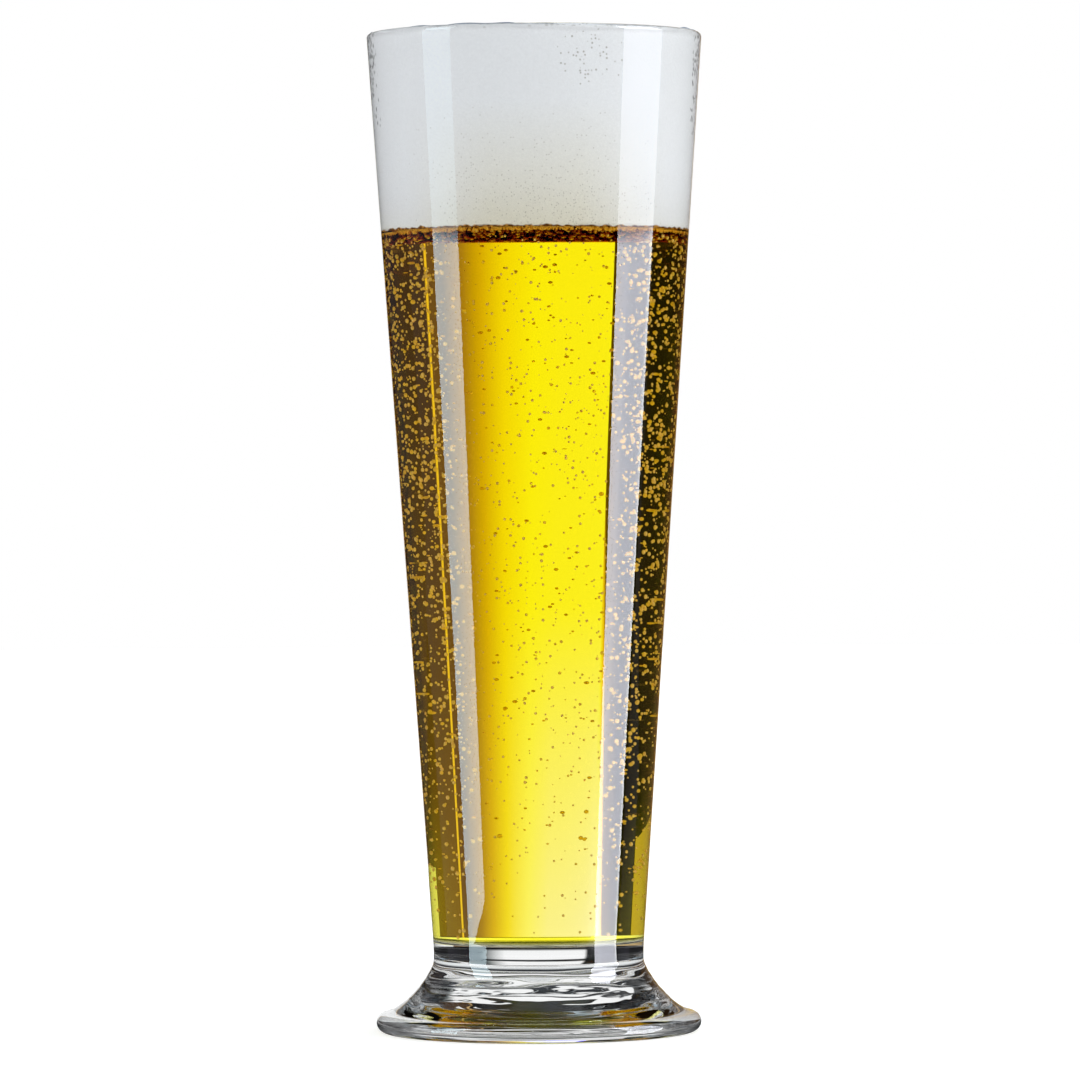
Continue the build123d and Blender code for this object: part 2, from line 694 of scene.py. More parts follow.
        # Painted shade: a blue-grey band at the foam's outer edge, from just under the rim's top upwards,
        # stands in for the shade at its lip.
        outer = graph.ladder(place.radius, *(self.reach - inset for inset in self.brim_inset))
        brim_shade = graph.product(outer, self.under_rim(graph, place, self.brim_shade_depth))
        colour = graph.mixed(beer_glow, self.pale, self.painted_beer_glow)
        for share, paint in ((dots, self.pit), (holes, self.hole), (brim_shade, self.brim_shade)):
            colour = graph.mixed(share, colour, paint)
        mottle = graph.ladder(grain["Fleck"], 0.0, 1.0, *self.fleck_shade)
        shade = graph.add("ShaderNodeCombineColor", dict.fromkeys(range(3), mottle)).outputs[0]
        colour = self.soaked(graph, place, graph.mixed(1.0, colour, shade, "MULTIPLY"))
        relief = graph.math("SUBTRACT", grain["Fleck"], graph.math("MAXIMUM", dots, holes))
        bump = graph.add("ShaderNodeBump", {"Height": relief, "Distance": self.relief})
        graph.principled(
            output,
            {
                "Base Color": colour,
                "Roughness": 0.8,
                "Specular IOR Level": 0.0,
                "Normal": bump.outputs["Normal"],
            },
        )
        return material


@dataclass(frozen=True)
class Sizes:
    """The real sizes that the pieces share, taken from the frame where it has them."""

    height: float
    rim_radius: float
    mouth_radius: float
    foot_radius: float
    seam: float
    floor: float
    beer_top: float
    collar_top: float
    foam_top: float
    waist_radius: float = 22.1 * MM
    waist_bend: float = 60.0 * MM
    foot_edge: float = 4.0 * MM
    foot_slope: float = 8.0
    flare_from_waist: float = 3.0 * MM
    flare_to_edge: float = 4.0 * MM
    base_wall: float = 3.4 * MM
    well_corner: float = 1.2 * MM
    contact_ring: float = 4.0 * MM
    punt_depth: float = 0.8 * MM

    @classmethod
    def from_frame(cls) -> "Sizes":
        """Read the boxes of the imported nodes.

        Returns:
            The sizes.
        """
        bowl_low, bowl_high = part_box("glass_bowl")
        foam_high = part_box("foam_head")[1]
        return cls(
            height=bowl_high.z,
            rim_radius=bowl_high.x,
            mouth_radius=foam_high.x,
            foot_radius=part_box("glass_foot")[1].x,
            seam=bowl_low.z,
            floor=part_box("beer")[0].z,
            beer_top=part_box("beer")[1].z,
            collar_top=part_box("bubble_collar")[1].z,
            foam_top=foam_high.z,
        )

    @property
    def rim_round(self) -> float:
        """Radius of the fire-polished rim."""
        return (self.rim_radius - self.mouth_radius) / 2

    @property
    def rim_side(self) -> float:
        """Height where the round of the rim begins."""
        return self.height - self.rim_round

    @property
    def well_radius(self) -> float:
        """Radius of the straight inner wall, carried on down to the floor."""
        return self.waist_radius - self.base_wall

    def inside(self, height: float) -> float:
        """Radius of the straight inner wall at a height."""
        rise = (height - self.floor) / (self.rim_side - self.floor)
        return self.well_radius + rise * (self.mouth_radius - self.well_radius)

    def well(self, top: float, grow: float = 0.0, steps: int = 24) -> list[Point]:
        """Floor, rounded corner and wall of the inside.

        Args:
            top: Height to stop at.
            grow: How far the outline stands outside the real one, into the glass.
            steps: Number of steps up the wall.

        Returns:
            The outline from the axis to the top.
        """
        lean = math.atan2(self.mouth_radius - self.well_radius, self.rim_side - self.floor)
        radius = self.well_corner + grow
        reach = self.well_radius + self.well_corner * math.tan(lean) - self.well_corner / math.cos(lean)
        centre = (reach, self.floor + self.well_corner)
        corner = arc(centre, radius, -90.0, -math.degrees(lean), 12)
        flat = straight((0.0, self.floor - grow), corner[0], 8)
        wall = straight(corner[-1], (self.inside(top) + grow / math.cos(lean), top), steps)
        return chained(flat, corner, wall)


@dataclass
class Glass:
    """The bowl and the foot, fused into one wall of clear glass."""

    sizes: Sizes
    finish: ClearGlass
    segments: int = 256
    ripple: float = 0.08 * MM
    ripple_pitch: float = 1.9 * MM
    ripples_round: float = 2.2
    wet_reach: float = 0.1 * MM

    def outline(self) -> list[Point]:
        """Half section from the punt's middle round the outside and down the inside to the floor's middle.

        Returns:
            The points of the section.
        """
        s = self.sizes
        edge = s.foot_edge / 2
        edge_centre = s.foot_radius - edge
        punt_radius = edge_centre - s.contact_ring
        sphere = (punt_radius**2 + s.punt_depth**2) / (2 * s.punt_depth)
        sweep = math.degrees(math.asin(punt_radius / sphere))
        punt = arc((0.0, s.punt_depth - sphere), sphere, 90.0, 90.0 - sweep, 44)
        ring = straight((punt_radius, 0.0), (edge_centre, 0.0), 4)
        nose = arc((edge_centre, edge), edge, -90.0, 90.0 - s.foot_slope, 20)
        slope = math.radians(s.foot_slope)
        out, up = nose[-1]
        handle = (out - s.flare_to_edge * math.cos(slope), up + s.flare_to_edge * math.sin(slope))
        waist = (s.waist_radius, s.seam)
        flare = curve((nose[-1], handle, (waist[0], waist[1] - s.flare_from_waist), waist), 64)
        across, tall = s.waist_radius + s.waist_bend - s.rim_radius, s.rim_side - s.seam
        lean = math.degrees(math.atan2(tall, across) - math.acos(s.waist_bend / math.hypot(across, tall)))
        bend = arc((s.waist_radius + s.waist_bend, s.seam), s.waist_bend, 180.0, 180.0 - lean, 10)
        taper = straight(bend[-1], (s.rim_radius, s.rim_side), 40)
        rim = arc((s.rim_radius - s.rim_round, s.rim_side), s.rim_round, 0.0, 180.0, 16)
        inside = s.well(s.rim_side, steps=60)
        return chained(punt, ring, nose, flare, bend, taper, rim, reversed(inside))

    def reshape(self, spot: Vector) -> Vector:
        """Let the pressed foot ripple a little along its slope and its punt, as real pressed glass does.

        Args:
            spot: A vertex of the turned shape.

        Returns:
            Where the vertex goes.
        """
        s = self.sizes
        reach = math.hypot(spot.x, spot.y)
        slope = s.foot_edge < spot.z < s.seam and reach > s.waist_radius
        punt = HAIR < spot.z <= s.punt_depth and HAIR < reach < s.foot_radius - s.foot_edge
        if not slope and not punt:
            return spot
        share = (spot.z - s.foot_edge) / (s.seam - s.foot_edge) if slope else spot.z / s.punt_depth
        out = Vector((spot.x / reach, spot.y / reach, 0.0))
        along = (spot.z - reach) / self.ripple_pitch
        push = noise.noise(out * self.ripples_round + Vector((0.0, 0.0, along))) * math.sin(math.pi * share)
        way = out + Vector((0.0, 0.0, 1.0)) if slope else Vector((0.0, 0.0, 2.0))
        return spot + way * push * self.ripple

    def slot_of(self, middle: Point) -> int:
        """Wet where the beer stands against the inner wall.

        Args:
            middle: Radius and height of the middle of a band of faces.

        Returns:
            The band's material slot.
        """
        s = self.sizes
        radius, height = middle
        wet = s.floor - HAIR < height < s.collar_top and radius < s.inside(height) + self.wet_reach
        return (Wetting.WET if wet else Wetting.DRY).value

    def build(self) -> bpy.types.Object:
        """Make the glass and dress it.

        Returns:
            The piece.
        """
        mesh = turned_mesh("glass", self.outline(), self.segments, self.reshape, self.slot_of)
        for wetting in Wetting:
            mesh.materials.append(self.finish.material(wetting))
        piece = placed("glass", mesh)
        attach(piece, BODY)
        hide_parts("glass_bowl", "glass_foot")
        return piece


@dataclass(frozen=True)
class Lot:
    """One lot of gas bubbles that are blown alike.

    Turns are the nearest and the farthest angle from the front, to either side, in degrees. Depth is how far
    in from the wall the lot reaches. A high size power makes most of the lot small, a low rise power sends
    most of it up, and a low wall power sends most of it to the wall.
    """

    count: int
    seed: int
    smallest: float
    largest: float
    turns: Point = (0.0, 180.0)
    depth: float = math.inf
    sides: int = 7
    size_power: float = 1.5
    rise_power: float = 0.62
    wall_power: float = 0.12


class BubbleTree:
    """Geometry nodes that blow gas bubbles inside a body of drink."""

    counts = ("Count", "Seed", "Sides")
    limits = ("Smallest", "Largest", "Bottom", "Top")
    walls = ("Bottom Inner", "Top Inner", "Bottom Outer", "Top Outer")
    spreads = ("Size Power", "Rise Power", "Wall Power", "Turn From", "Turn To")
    rings = 4

    def __init__(self, gas: bpy.types.Material) -> None:
        """Build the tree once, with its sizes as named inputs.

        Args:
            gas: Skin of the bubbles.
        """
        self.gas = gas
        self.tree = bpy.data.node_groups.new("gas_bubbles", "GeometryNodeTree")
        sockets = self.tree.interface
        sockets.new_socket("Geometry", in_out="OUTPUT", socket_type="NodeSocketGeometry")
        sockets.new_socket("Geometry", in_out="INPUT", socket_type="NodeSocketGeometry")
        for label in self.counts:
            sockets.new_socket(label, in_out="INPUT", socket_type="NodeSocketInt")
        for label in self.limits + self.walls + self.spreads:
            sockets.new_socket(label, in_out="INPUT", socket_type="NodeSocketFloat")
        sockets.new_socket("Gas", in_out="INPUT", socket_type="NodeSocketMaterial")
        self.lay()

    def lay(self) -> None:
        """Lay the nodes."""
        graph = Graph(self.tree)
        given = graph.add("NodeGroupInput").outputs
        draws = [graph.random(0.0, 1.0, given["Seed"], stream) for stream in range(3)]
        powers = [given[label] for label in self.spreads[:3]]
        sized, risen, outward = (graph.math("POWER", draw, power) for draw, power in zip(draws, powers))
        radius = graph.between(given["Smallest"], given["Largest"], sized)
        height = graph.between(given["Bottom"], given["Top"], risen)
        inner = graph.between(given["Bottom Inner"], given["Top Inner"], risen)
        wall = graph.between(given["Bottom Outer"], given["Top Outer"], risen)
        reach = graph.between(inner, graph.math("SUBTRACT", wall, radius), outward)
        swing = graph.random(-1.0, 1.0, given["Seed"], 3)
        away = graph.between(given["Turn From"], given["Turn To"], graph.math("ABSOLUTE", swing))
        turn = graph.product(graph.math("SIGN", swing), away)
        spot = graph.add(
            "ShaderNodeCombineXYZ",
            {
                "X": graph.product(reach, graph.math("SINE", turn)),
                "Y": graph.product(reach, graph.math("COSINE", turn), -1.0),
                "Z": height,
            },
        )
        points = graph.add(
            "GeometryNodePoints", {"Count": given["Count"], "Position": spot.outputs[0], "Radius": radius}
        )
        sphere = {"Radius": 1.0, "Segments": given["Sides"], "Rings": self.rings}
        ball = graph.add("GeometryNodeMeshUVSphere", sphere).outputs["Mesh"]
        size = graph.add("GeometryNodeInputRadius").outputs[0]
        blown = graph.add(
            "GeometryNodeInstanceOnPoints", {"Points": points.outputs[0], "Instance": ball, "Scale": size}
        )
        real = graph.add("GeometryNodeRealizeInstances", {"Geometry": blown.outputs[0]})
        hollow = graph.add("GeometryNodeFlipFaces", {"Mesh": real.outputs[0]})
        smooth = graph.add("GeometryNodeSetShadeSmooth", {"Geometry": hollow.outputs[0]})
        dress = {"Geometry": smooth.outputs[0], "Material": given["Gas"]}
        skin = graph.add("GeometryNodeSetMaterial", dress)
        both = graph.add("GeometryNodeJoinGeometry")
        graph.join(skin.outputs[0], both.inputs[0])
        graph.join(given["Geometry"], both.inputs[0])
        graph.add("NodeGroupOutput", {"Geometry": both.outputs[0]})

    def blow(self, piece: bpy.types.Object, lot: Lot, heights: Point, walls: Point) -> None:
        """Blow one lot of bubbles and keep them in the piece's plain mesh.

        Args:
            piece: The body of drink.
            lot: The lot.
            heights: Lowest and highest middle of a bubble.
            walls: How far out the bubbles reach at those heights.
        """
        inner = [max(wall - lot.depth, 0.0) for wall in walls]
        turns = [math.radians(turn) for turn in lot.turns]
        powers = (lot.size_power, lot.rise_power, lot.wall_power)
        values = {"Gas": self.gas}
        values.update(zip(self.counts, (lot.count, lot.seed, lot.sides)))
        values.update(zip(self.limits, (lot.smallest, lot.largest, *heights)))
        values.update(zip(self.walls, (*inner, *walls)))
        values.update(zip(self.spreads, (*powers, *turns)))
        grown(piece, self.tree, values)


def grown(piece: bpy.types.Object, tree: bpy.types.NodeTree, values: dict[str, Any]) -> None:
    """Run a geometry tree on a piece and keep the result as its plain mesh.

    Args:
        piece: The piece that the tree starts from.
        tree: The tree.
        values: Value of each named input.
    """
    modifier = piece.modifiers.new("grow", "NODES")
    modifier.node_group = tree
    for socket in tree.interface.items_tree:
        if socket.item_type == "SOCKET" and socket.in_out == "INPUT" and socket.name in values:
            modifier[socket.identifier] = values[socket.name]
    bpy.context.view_layer.update()
    graph = bpy.context.evaluated_depsgraph_get()
    mesh = bpy.data.meshes.new_from_object(piece.evaluated_get(graph))
    piece.modifiers.remove(modifier)
    piece.data = mesh
    mesh.name = piece.name
    used = sorted({face.material_index for face in mesh.polygons})
    slots = [used.index(face.material_index) for face in mesh.polygons]
    kept = [mesh.materials[i] for i in used]
    mesh.materials.clear()
    for material in kept:
        mesh.materials.append(material)
    mesh.polygons.foreach_set("material_index", slots)


@dataclass
class Drink:
    """The beer in the well, with its bubbles: fine ones in front and behind, coarser ones at both sides."""

    sizes: Sizes
    bubbles: BubbleTree
    finish: Liquid
    segments: int = 160
    soak: float = 0.15 * MM
    low_gap: float = 0.3 * MM
    high_gap: float = 0.1 * MM
    lots: tuple[Lot, ...] = (
        Lot(1300, 11, 0.11 * MM, 0.34 * MM, (0.0, 60.0)),
        Lot(2600, 47, 0.176 * MM, 0.544 * MM, (46.0, 97.0)),
        Lot(400, 83, 0.11 * MM, 0.34 * MM, (130.0, 180.0)),
    )

    def build(self) -> bpy.types.Object:
        """Make the beer, blow its bubbles and dress it.

        Returns:
            The piece.
        """
        s = self.sizes
        top = s.beer_top
        outline = chained(s.well(top, self.soak), straight((s.inside(top) + self.soak, top), (0.0, top), 6))
        mesh = turned_mesh("drink", outline, self.segments)
        mesh.materials.append(self.finish.material())
        piece = placed("drink", mesh)
        walls = (s.inside(s.floor + s.well_corner) - self.low_gap, s.inside(top) - self.high_gap)
        for lot in self.lots:
            self.bubbles.blow(piece, lot, (s.floor + lot.largest, top - lot.largest), walls)
        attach(piece, BODY)
        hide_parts("beer")
        return piece


@dataclass
class Collar:
    """The coarse wet bubbles between beer and foam: a ring of them at the wall and a raft on the beer."""

    sizes: Sizes
    bubbles: BubbleTree
    finish: Liquid
    segments: int = 160
    soak: float = 0.15 * MM
    lap_down: float = 0.1 * MM
    lap_up: float = 0.5 * MM
    end_gap: float = 0.3 * MM
    wall_gap: float = 0.05 * MM
    ring: Lot = Lot(
        1300,
        23,
        0.2 * MM,
        0.5 * MM,
        depth=0.95 * MM,
        sides=6,
        size_power=1.4,
        rise_power=1.0,
        wall_power=0.2,
    )
    raft: Lot = Lot(
        800,
        71,
        0.2 * MM,
        0.5 * MM,
        sides=6,
        size_power=1.4,
        rise_power=3.0,
        wall_power=0.5,
    )

    def build(self) -> bpy.types.Object:
        """Make the layer, which laps a little into the beer and the foam, blow its bubbles and dress it.

        Returns:
            The piece.
        """
        s = self.sizes
        low, high = s.beer_top - self.lap_down, s.collar_top + self.lap_up
        bottom = straight((0.0, low), (s.inside(low) + self.soak, low), 6)
        top = straight((s.inside(high) + self.soak, high), (0.0, high), 6)
        mesh = turned_mesh("collar", chained(bottom, top), self.segments)
        mesh.materials.append(self.finish.material())
        piece = placed("collar", mesh)
        walls = (s.inside(low) - self.wall_gap, s.inside(high) - self.wall_gap)
        for lot in (self.ring, self.raft):
            self.bubbles.blow(piece, lot, (low + self.end_gap, high - self.end_gap), walls)
        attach(piece, BODY)
        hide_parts("bubble_collar")
        return piece


@dataclass
class FoamHead:
    """The head of foam, lumpy on top."""

    sizes: Sizes
    finish: Froth
    segments: int = 256
    soak: float = 0.15 * MM
    brim_inset: float = 0.35 * MM
    brim_rise: float = 0.25 * MM
    lip_low: float = 0.3 * MM
    lip_high: float = 0.5 * MM
    shoulder: float = 1.2 * MM
    lump: float = 1.3 * MM
    lump_scale: float = 75.0
    small_lump: float = 0.5
    small_lump_scale: float = 2.7
    calm_at_rim: float = 0.5
    under_rough: float = 0.25 * MM
    under_scale: float = 700.0

    def outline(self) -> list[Point]:
        """Half section from the middle of the underside to the middle of the crown.

        Returns:
            The points of the section.
        """
        s = self.sizes
        low = s.collar_top
        bottom = straight((0.0, low), (s.inside(low) + self.soak, low), 20)
        side = straight(bottom[-1], (s.mouth_radius + self.soak, s.rim_side), 40)
        rise = s.foam_top - s.rim_side
        sphere = (s.mouth_radius**2 + rise**2) / (2 * rise)
        sweep = math.degrees(math.asin(s.mouth_radius / sphere))
        crown = arc((0.0, s.foam_top - sphere), sphere, 90.0 - sweep, 90.0, 70)
        out, up = s.rim_radius - self.brim_inset, s.height + self.brim_rise
        shoulder = [point for point in crown if point[0] < out - self.shoulder]
        handles = ((out, s.rim_side + self.lip_low), (out, up + self.lip_high))
        lip = curve((side[-1], *handles, shoulder[0]), 8)
        return chained(bottom, side, lip, shoulder)

    def reshape(self, spot: Vector) -> Vector:
        """Heave the top into lumps and roughen the underside.

        Args:
            spot: A vertex of the turned shape.

        Returns:
            Where the vertex goes.
        """
        s = self.sizes
        reach = math.hypot(spot.x, spot.y)
        if spot.z > s.rim_side - HAIR:
            large = noise.noise(spot * self.lump_scale)
            small = noise.noise(spot * self.lump_scale * self.small_lump_scale)
            calm = 1.0 - self.calm_at_rim * min(reach / s.mouth_radius, 1.0) ** 2
            return spot + Vector((0.0, 0.0, (large + self.small_lump * small) * self.lump * calm))
        if spot.z < s.collar_top + HAIR and reach < s.inside(s.collar_top):
            return spot + Vector((0.0, 0.0, noise.noise(spot * self.under_scale) * self.under_rough))
        return spot

    def build(self) -> bpy.types.Object:
        """Make the head and dress it.

        Returns:
            The piece.
        """
        mesh = turned_mesh("head", self.outline(), self.segments, self.reshape)
        mesh.materials.append(self.finish.material("foam_froth"))
        piece = placed("head", mesh)
        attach(piece, BODY)
        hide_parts("foam_head")
        return piece


@dataclass(frozen=True)
class Card:
    """An upright studio card, seen only in the glass: never by the camera itself and casting no shadow.

    Columns run along the card and rows run up it. Where lean isn't 0, the columns stand askew: they move
    back by that share of the card's length over its height. Where slope isn't 0, the rows climb by that
    share of the card's height over its length. The glass mirrors the card at one strength on its outside,
    shows it at another through its walls, and at a third in reflections inside it. The top edge may climb or
    fall to its end. With a plain echo, reflections show the columns alone. Above the share clear_above of
    its height, a card doesn't show through the drink. A hidden card lights matt surfaces and shows in
    reflections, but not straight through the glass.
    """

    name: str
    path: tuple[Point, ...]
    low: float
    high: float
    columns: Stops
    rows: Stops = EVEN
    lean: float = 0.0
    slope: float = 0.0
    mirrored: float = 1.0
    seen_through: float = 1.0
    seen_inside: float = 1.0
    on_matt: float = 0.95
    high_end: float | None = None
    plain_echo: bool = False
    clear_above: float | None = None
    hidden: bool = False

    def mesh(self) -> bpy.types.Mesh:
        """A strip along the card's path, with its own map from 0 to 1 each way.

        Returns:
            The mesh.
        """
        shape = bmesh.new()
        chart = shape.loops.layers.uv.new("chart")
        lengths = [0.0]
        for start, end in zip(self.path, self.path[1:]):
            lengths.append(lengths[-1] + math.dist(start, end))
        climb = 0.0 if self.high_end is None else (self.high_end - self.high) / lengths[-1]
        posts = []
        for (x, y), length in zip(self.path, lengths):
            posts.append([shape.verts.new((x, y, z)) for z in (self.low, self.high + climb * length)])
        for i, (left, right) in enumerate(zip(posts, posts[1:])):
            face = shape.faces.new((left[0], right[0], right[1], left[1]))
            across = (lengths[i] / lengths[-1], lengths[i + 1] / lengths[-1])
            for loop, corner in zip(face.loops, ((0, 0), (1, 0), (1, 1), (0, 1))):
                loop[chart].uv = (across[corner[0]], corner[1])
        return finished_mesh(self.name, shape)

    def material(self) -> bpy.types.Material:
        """The card's glow, by column and by row; light on its way to a matt surface finds it evenly bright.

        Returns:
            The material.
        """
        material, graph, output = new_material(self.name)
        chart = graph.add("ShaderNodeUVMap", uv_map="chart").outputs[0]
        along, up = graph.part(chart, "X"), graph.part(chart, "Y")
        columns = graph.ramp(graph.math("MULTIPLY_ADD", up, self.lean, along), self.columns)
        rows = graph.ramp(graph.math("MULTIPLY_ADD", along, -self.slope, up), self.rows)
        ray = graph.add("ShaderNodeLightPath").outputs
        matt = graph.beyond(ray["Diffuse Depth"], 0)
        outside = graph.within(ray["Transmission Depth"], 0)
        bounced = graph.beyond(ray["Glossy Depth"], 0)
        echo = graph.between(self.seen_inside, self.mirrored, outside)
        strength = graph.between(self.seen_through, echo, bounced)
        pattern = graph.mixed(1.0, columns, rows, "MULTIPLY")
        if self.plain_echo:
            pattern = graph.mixed(bounced, pattern, columns)
        glow = {
            "Color": graph.mixed(matt, pattern, WHITE),
            "Strength": graph.between(strength, self.on_matt, matt),
        }
        surface = graph.add("ShaderNodeEmission", glow).outputs[0]
        if self.clear_above is not None:
            upper = graph.math("GREATER_THAN", up, self.clear_above)
            drink = graph.beyond(ray["Transmission Depth"], GRAZED_FACES)
            surface = graph.cleared(surface, graph.product(drink, upper))
        if self.hidden:
            shown = graph.math("MAXIMUM", matt, bounced)
            surface = graph.cleared(surface, graph.math("SUBTRACT", 1.0, shown))
        graph.join(surface, output.inputs["Surface"])
        material.cycles.emission_sampling = "NONE"
        return material

    def build(self, in_mirror: bool = True, through: bool = True) -> None:
        """Stand the card up.

        Args:
            in_mirror: Whether reflections show it.
            through: Whether it shows through the glass.
        """
        mesh = self.mesh()
        mesh.materials.append(self.material())
        card = placed(self.name, mesh)
        card.visible_camera = False
        card.visible_diffuse = False
        card.visible_shadow = False
        card.visible_volume_scatter = False
        card.visible_glossy = in_mirror
        card.visible_transmission = through


@dataclass
class Studio:
    """White floor and background, the cards that the glass mirrors and bends, and the camera."""

    distance: float = 1.40
    eye: float = 118.6 * MM
    aim: Vector = field(default_factory=lambda: Vector((0.74 * MM, 0.0, 103.4 * MM)))
    field_width: float = 227.4 * MM
    roll: float = 0.3
    sensor: float = 36.0
    clip: float = 0.01
    back: float = 0.22
    far_back: float = 0.45
    back_height: float = 0.4
    back_reach: float = 1.5
    back_glow: float = 1.12
    box_reach: float = 0.9
    box_weak_height: float = 0.19
    cove_reach: float = 1.3
    cove_turn: float = 118.0
    low_wall_radius: float = 45.0 * MM
    low_wall_turn: float = 80.0
    bend_steps: int = 40
    fill_power: float = 2.3
    floor_radius: float = 3.0
    floor_lift: float = 0.4
    foot_shade: float = 0.25
    foot_shade_span: Point = (33.0 * MM, 27.0 * MM)
    echo_rings: float = 150.0 * MM
    bent_rings: float = 66.0 * MM
    bent_span: Point = (60.0 * MM, 50.0 * MM)
    ring_shift: float = 6.0 * MM
    ring_wobble: float = 6.0 * MM
    wobble_scale: float = 90.0
    floor_grain: float = 40.0

    def ceiling(self, graph: Graph, way: Socket) -> Socket:
        """What the glass mirrors and bends: white round the horizon, dim above, banded for inner echoes.

        Args:
            graph: Graph of the world.
            way: Direction of the light.

        Returns:
            The colour.
        """
        up = graph.part(way, "Z")
        dim, pale = (0.02, 0.02, 0.022), (0.24, 0.27, 0.3)
        bands = flats((0.0, 0.47, dim), (0.49, 0.66, WHITE), (0.725, 0.93, dim), (0.96, 1.0, pale))
        plain = graph.ramp(graph.math("MULTIPLY_ADD", up, 0.5, 0.5), bands)
        gloom, blue, frost = (0.016, 0.015, 0.015), (0.42, 0.52, 0.60), (0.86, 0.88, 0.90)
        low_bands = flats((0.0, 0.06, gloom), (0.08, 0.13, frost), (0.15, 0.24, gloom), (0.27, 0.36, blue))
        high_bands = flats((0.39, 0.5, gloom), (0.55, 0.62, frost)) + ((0.66, gloom), (0.8, blue))
        return graph.mixed(inner_bounce(graph), plain, graph.ramp(up, low_bands + high_bands))

    def side_light(self, graph: Graph, way: Socket) -> Socket:
        """Soft light for matt surfaces: strong from the right, weaker from the left and from above.

        Args:
            graph: Graph of the world.
            way: Direction of the light.

        Returns:
            The colour.
        """
        soft, dusk, strong = (0.84, 0.85, 0.86), (0.26, 0.26, 0.26), (1.28, 1.28, 1.28)
        side = graph.math("MULTIPLY_ADD", graph.part(way, "X"), 0.5, 0.5)
        fill = graph.ramp(side, ((0.0, soft), (0.25, soft), (0.48, dusk), (0.9, strong)))
        above = graph.ramp(graph.part(way, "Z"), ((0.0, WHITE), (0.3, WHITE), (0.6, (0.44, 0.46, 0.49))))
        fill = graph.mixed(1.0, fill, above, "MULTIPLY")
        scale = {0: fill, "Scale": self.fill_power}
        return graph.add("ShaderNodeVectorMath", scale, operation="SCALE").outputs[0]

    def world(self) -> None:
        """White for the camera, the ceiling for the glass and the side light for matt surfaces."""
        world = bpy.data.worlds.new("white_studio")
        bpy.context.scene.world = world
        world.use_nodes = True
        world.node_tree.nodes.clear()
        graph = Graph(world.node_tree)
        way = graph.add("ShaderNodeTexCoord").outputs["Generated"]
        ray = graph.add("ShaderNodeLightPath").outputs
        clear = graph.math("MAXIMUM", ray["Is Glossy Ray"], ray["Is Transmission Ray"])
        clear = graph.product(clear, graph.within(ray["Diffuse Depth"], 0))
        colour = graph.mixed(clear, self.side_light(graph, way), self.ceiling(graph, way))
        colour = graph.mixed(ray["Is Camera Ray"], colour, WHITE)
        sky = graph.add("ShaderNodeBackground", {"Color": colour, "Strength": 1.0})
        graph.add("ShaderNodeOutputWorld", {"Surface": sky.outputs[0]})

    def floor_material(self) -> bpy.types.Material:
        """Pale paint, white where nothing shades it.

        Reflections inside the glass show wide painted dark rings on it. Light that crosses the glass alone,
        close to
        the foot, shows narrower ones: a glowing painted caustic, whose radii are given in millimetres. Under
        the foot, the paint darkens into a painted shadow.

        Returns:
            The material.
        """
        material, graph, output = new_material("pale_floor")
        ray = graph.add("ShaderNodeLightPath").outputs
        spot = graph.add("ShaderNodeTexCoord").outputs["Object"]
        reach = graph.vector("LENGTH", spot)
        echo = inner_bounce(graph)
        ink, slate, frost = (0.02, 0.02, 0.021), (0.26, 0.32, 0.36), (0.86, 0.88, 0.89)
        # Painted shadow: under the foot, the paint darkens towards ink.
        under = graph.ladder(reach, *self.foot_shade_span)
        paint = graph.mixed(graph.noise(spot, self.floor_grain), (0.8, 0.8, 0.8), (0.82, 0.82, 0.82))
        paint = graph.mixed(graph.product(under, self.foot_shade), paint, ink)
        # Painted rings of dark and pale, found only by reflections inside the glass.
        wide = flats((0.0, 0.2, frost), (0.23, 0.34, ink), (0.37, 0.5, frost), (0.53, 1.0, ink))
        paint = graph.mixed(echo, paint, graph.ramp(graph.math("DIVIDE", reach, self.echo_rings), wide))
        # Painted caustic: narrow rings of light and dark that glow where light has crossed the glass alone,
        # near the foot.
        inner_rings = ((9.0, frost), (12.0, ink), (16.0, ink), (18.0, slate), (21.0, ink), (24.0, frost))
        outer_rings = ((35.0, frost), (38.0, ink), (41.0, ink), (44.0, WHITE), (51.0, WHITE))
        last_rings = ((53.0, slate), (56.0, ink), (59.0, frost))
        narrow = shares(inner_rings + outer_rings + last_rings, self.bent_rings / MM)
        wobble = graph.noise(spot, self.wobble_scale)
        ring = graph.math("MULTIPLY_ADD", wobble, self.ring_wobble, reach)
        ring = graph.math("MULTIPLY_ADD", echo, self.ring_shift, ring)
        painted_caustic = graph.ramp(graph.math("DIVIDE", ring, self.bent_rings), narrow)
        bent = graph.product(
            ray["Is Transmission Ray"],
            graph.within(ray["Diffuse Depth"], 0),
            graph.within(ray["Transmission Depth"], GLASS_FACES),
            graph.ladder(reach, *self.bent_span),
        )
        matt = graph.add("ShaderNodeBsdfDiffuse", {"Color": graph.mixed(bent, paint, (0.0, 0.0, 0.0))})
        plain = graph.math("SUBTRACT", 1.0, graph.math("MAXIMUM", under, echo))
        seen = graph.math("MAXIMUM", ray["Is Camera Ray"], ray["Is Transmission Ray"])
        lift = graph.math("MAXIMUM", graph.product(seen, plain, self.floor_lift), bent)
        glow = graph.add("ShaderNodeEmission", {"Color": graph.mixed(bent, WHITE, painted_caustic), "Strength": lift})
        both = graph.add("ShaderNodeAddShader", {0: matt.outputs[0], 1: glow.outputs[0]})
        graph.join(both.outputs[0], output.inputs["Surface"])
        material.cycles.emission_sampling = "NONE"
        return material

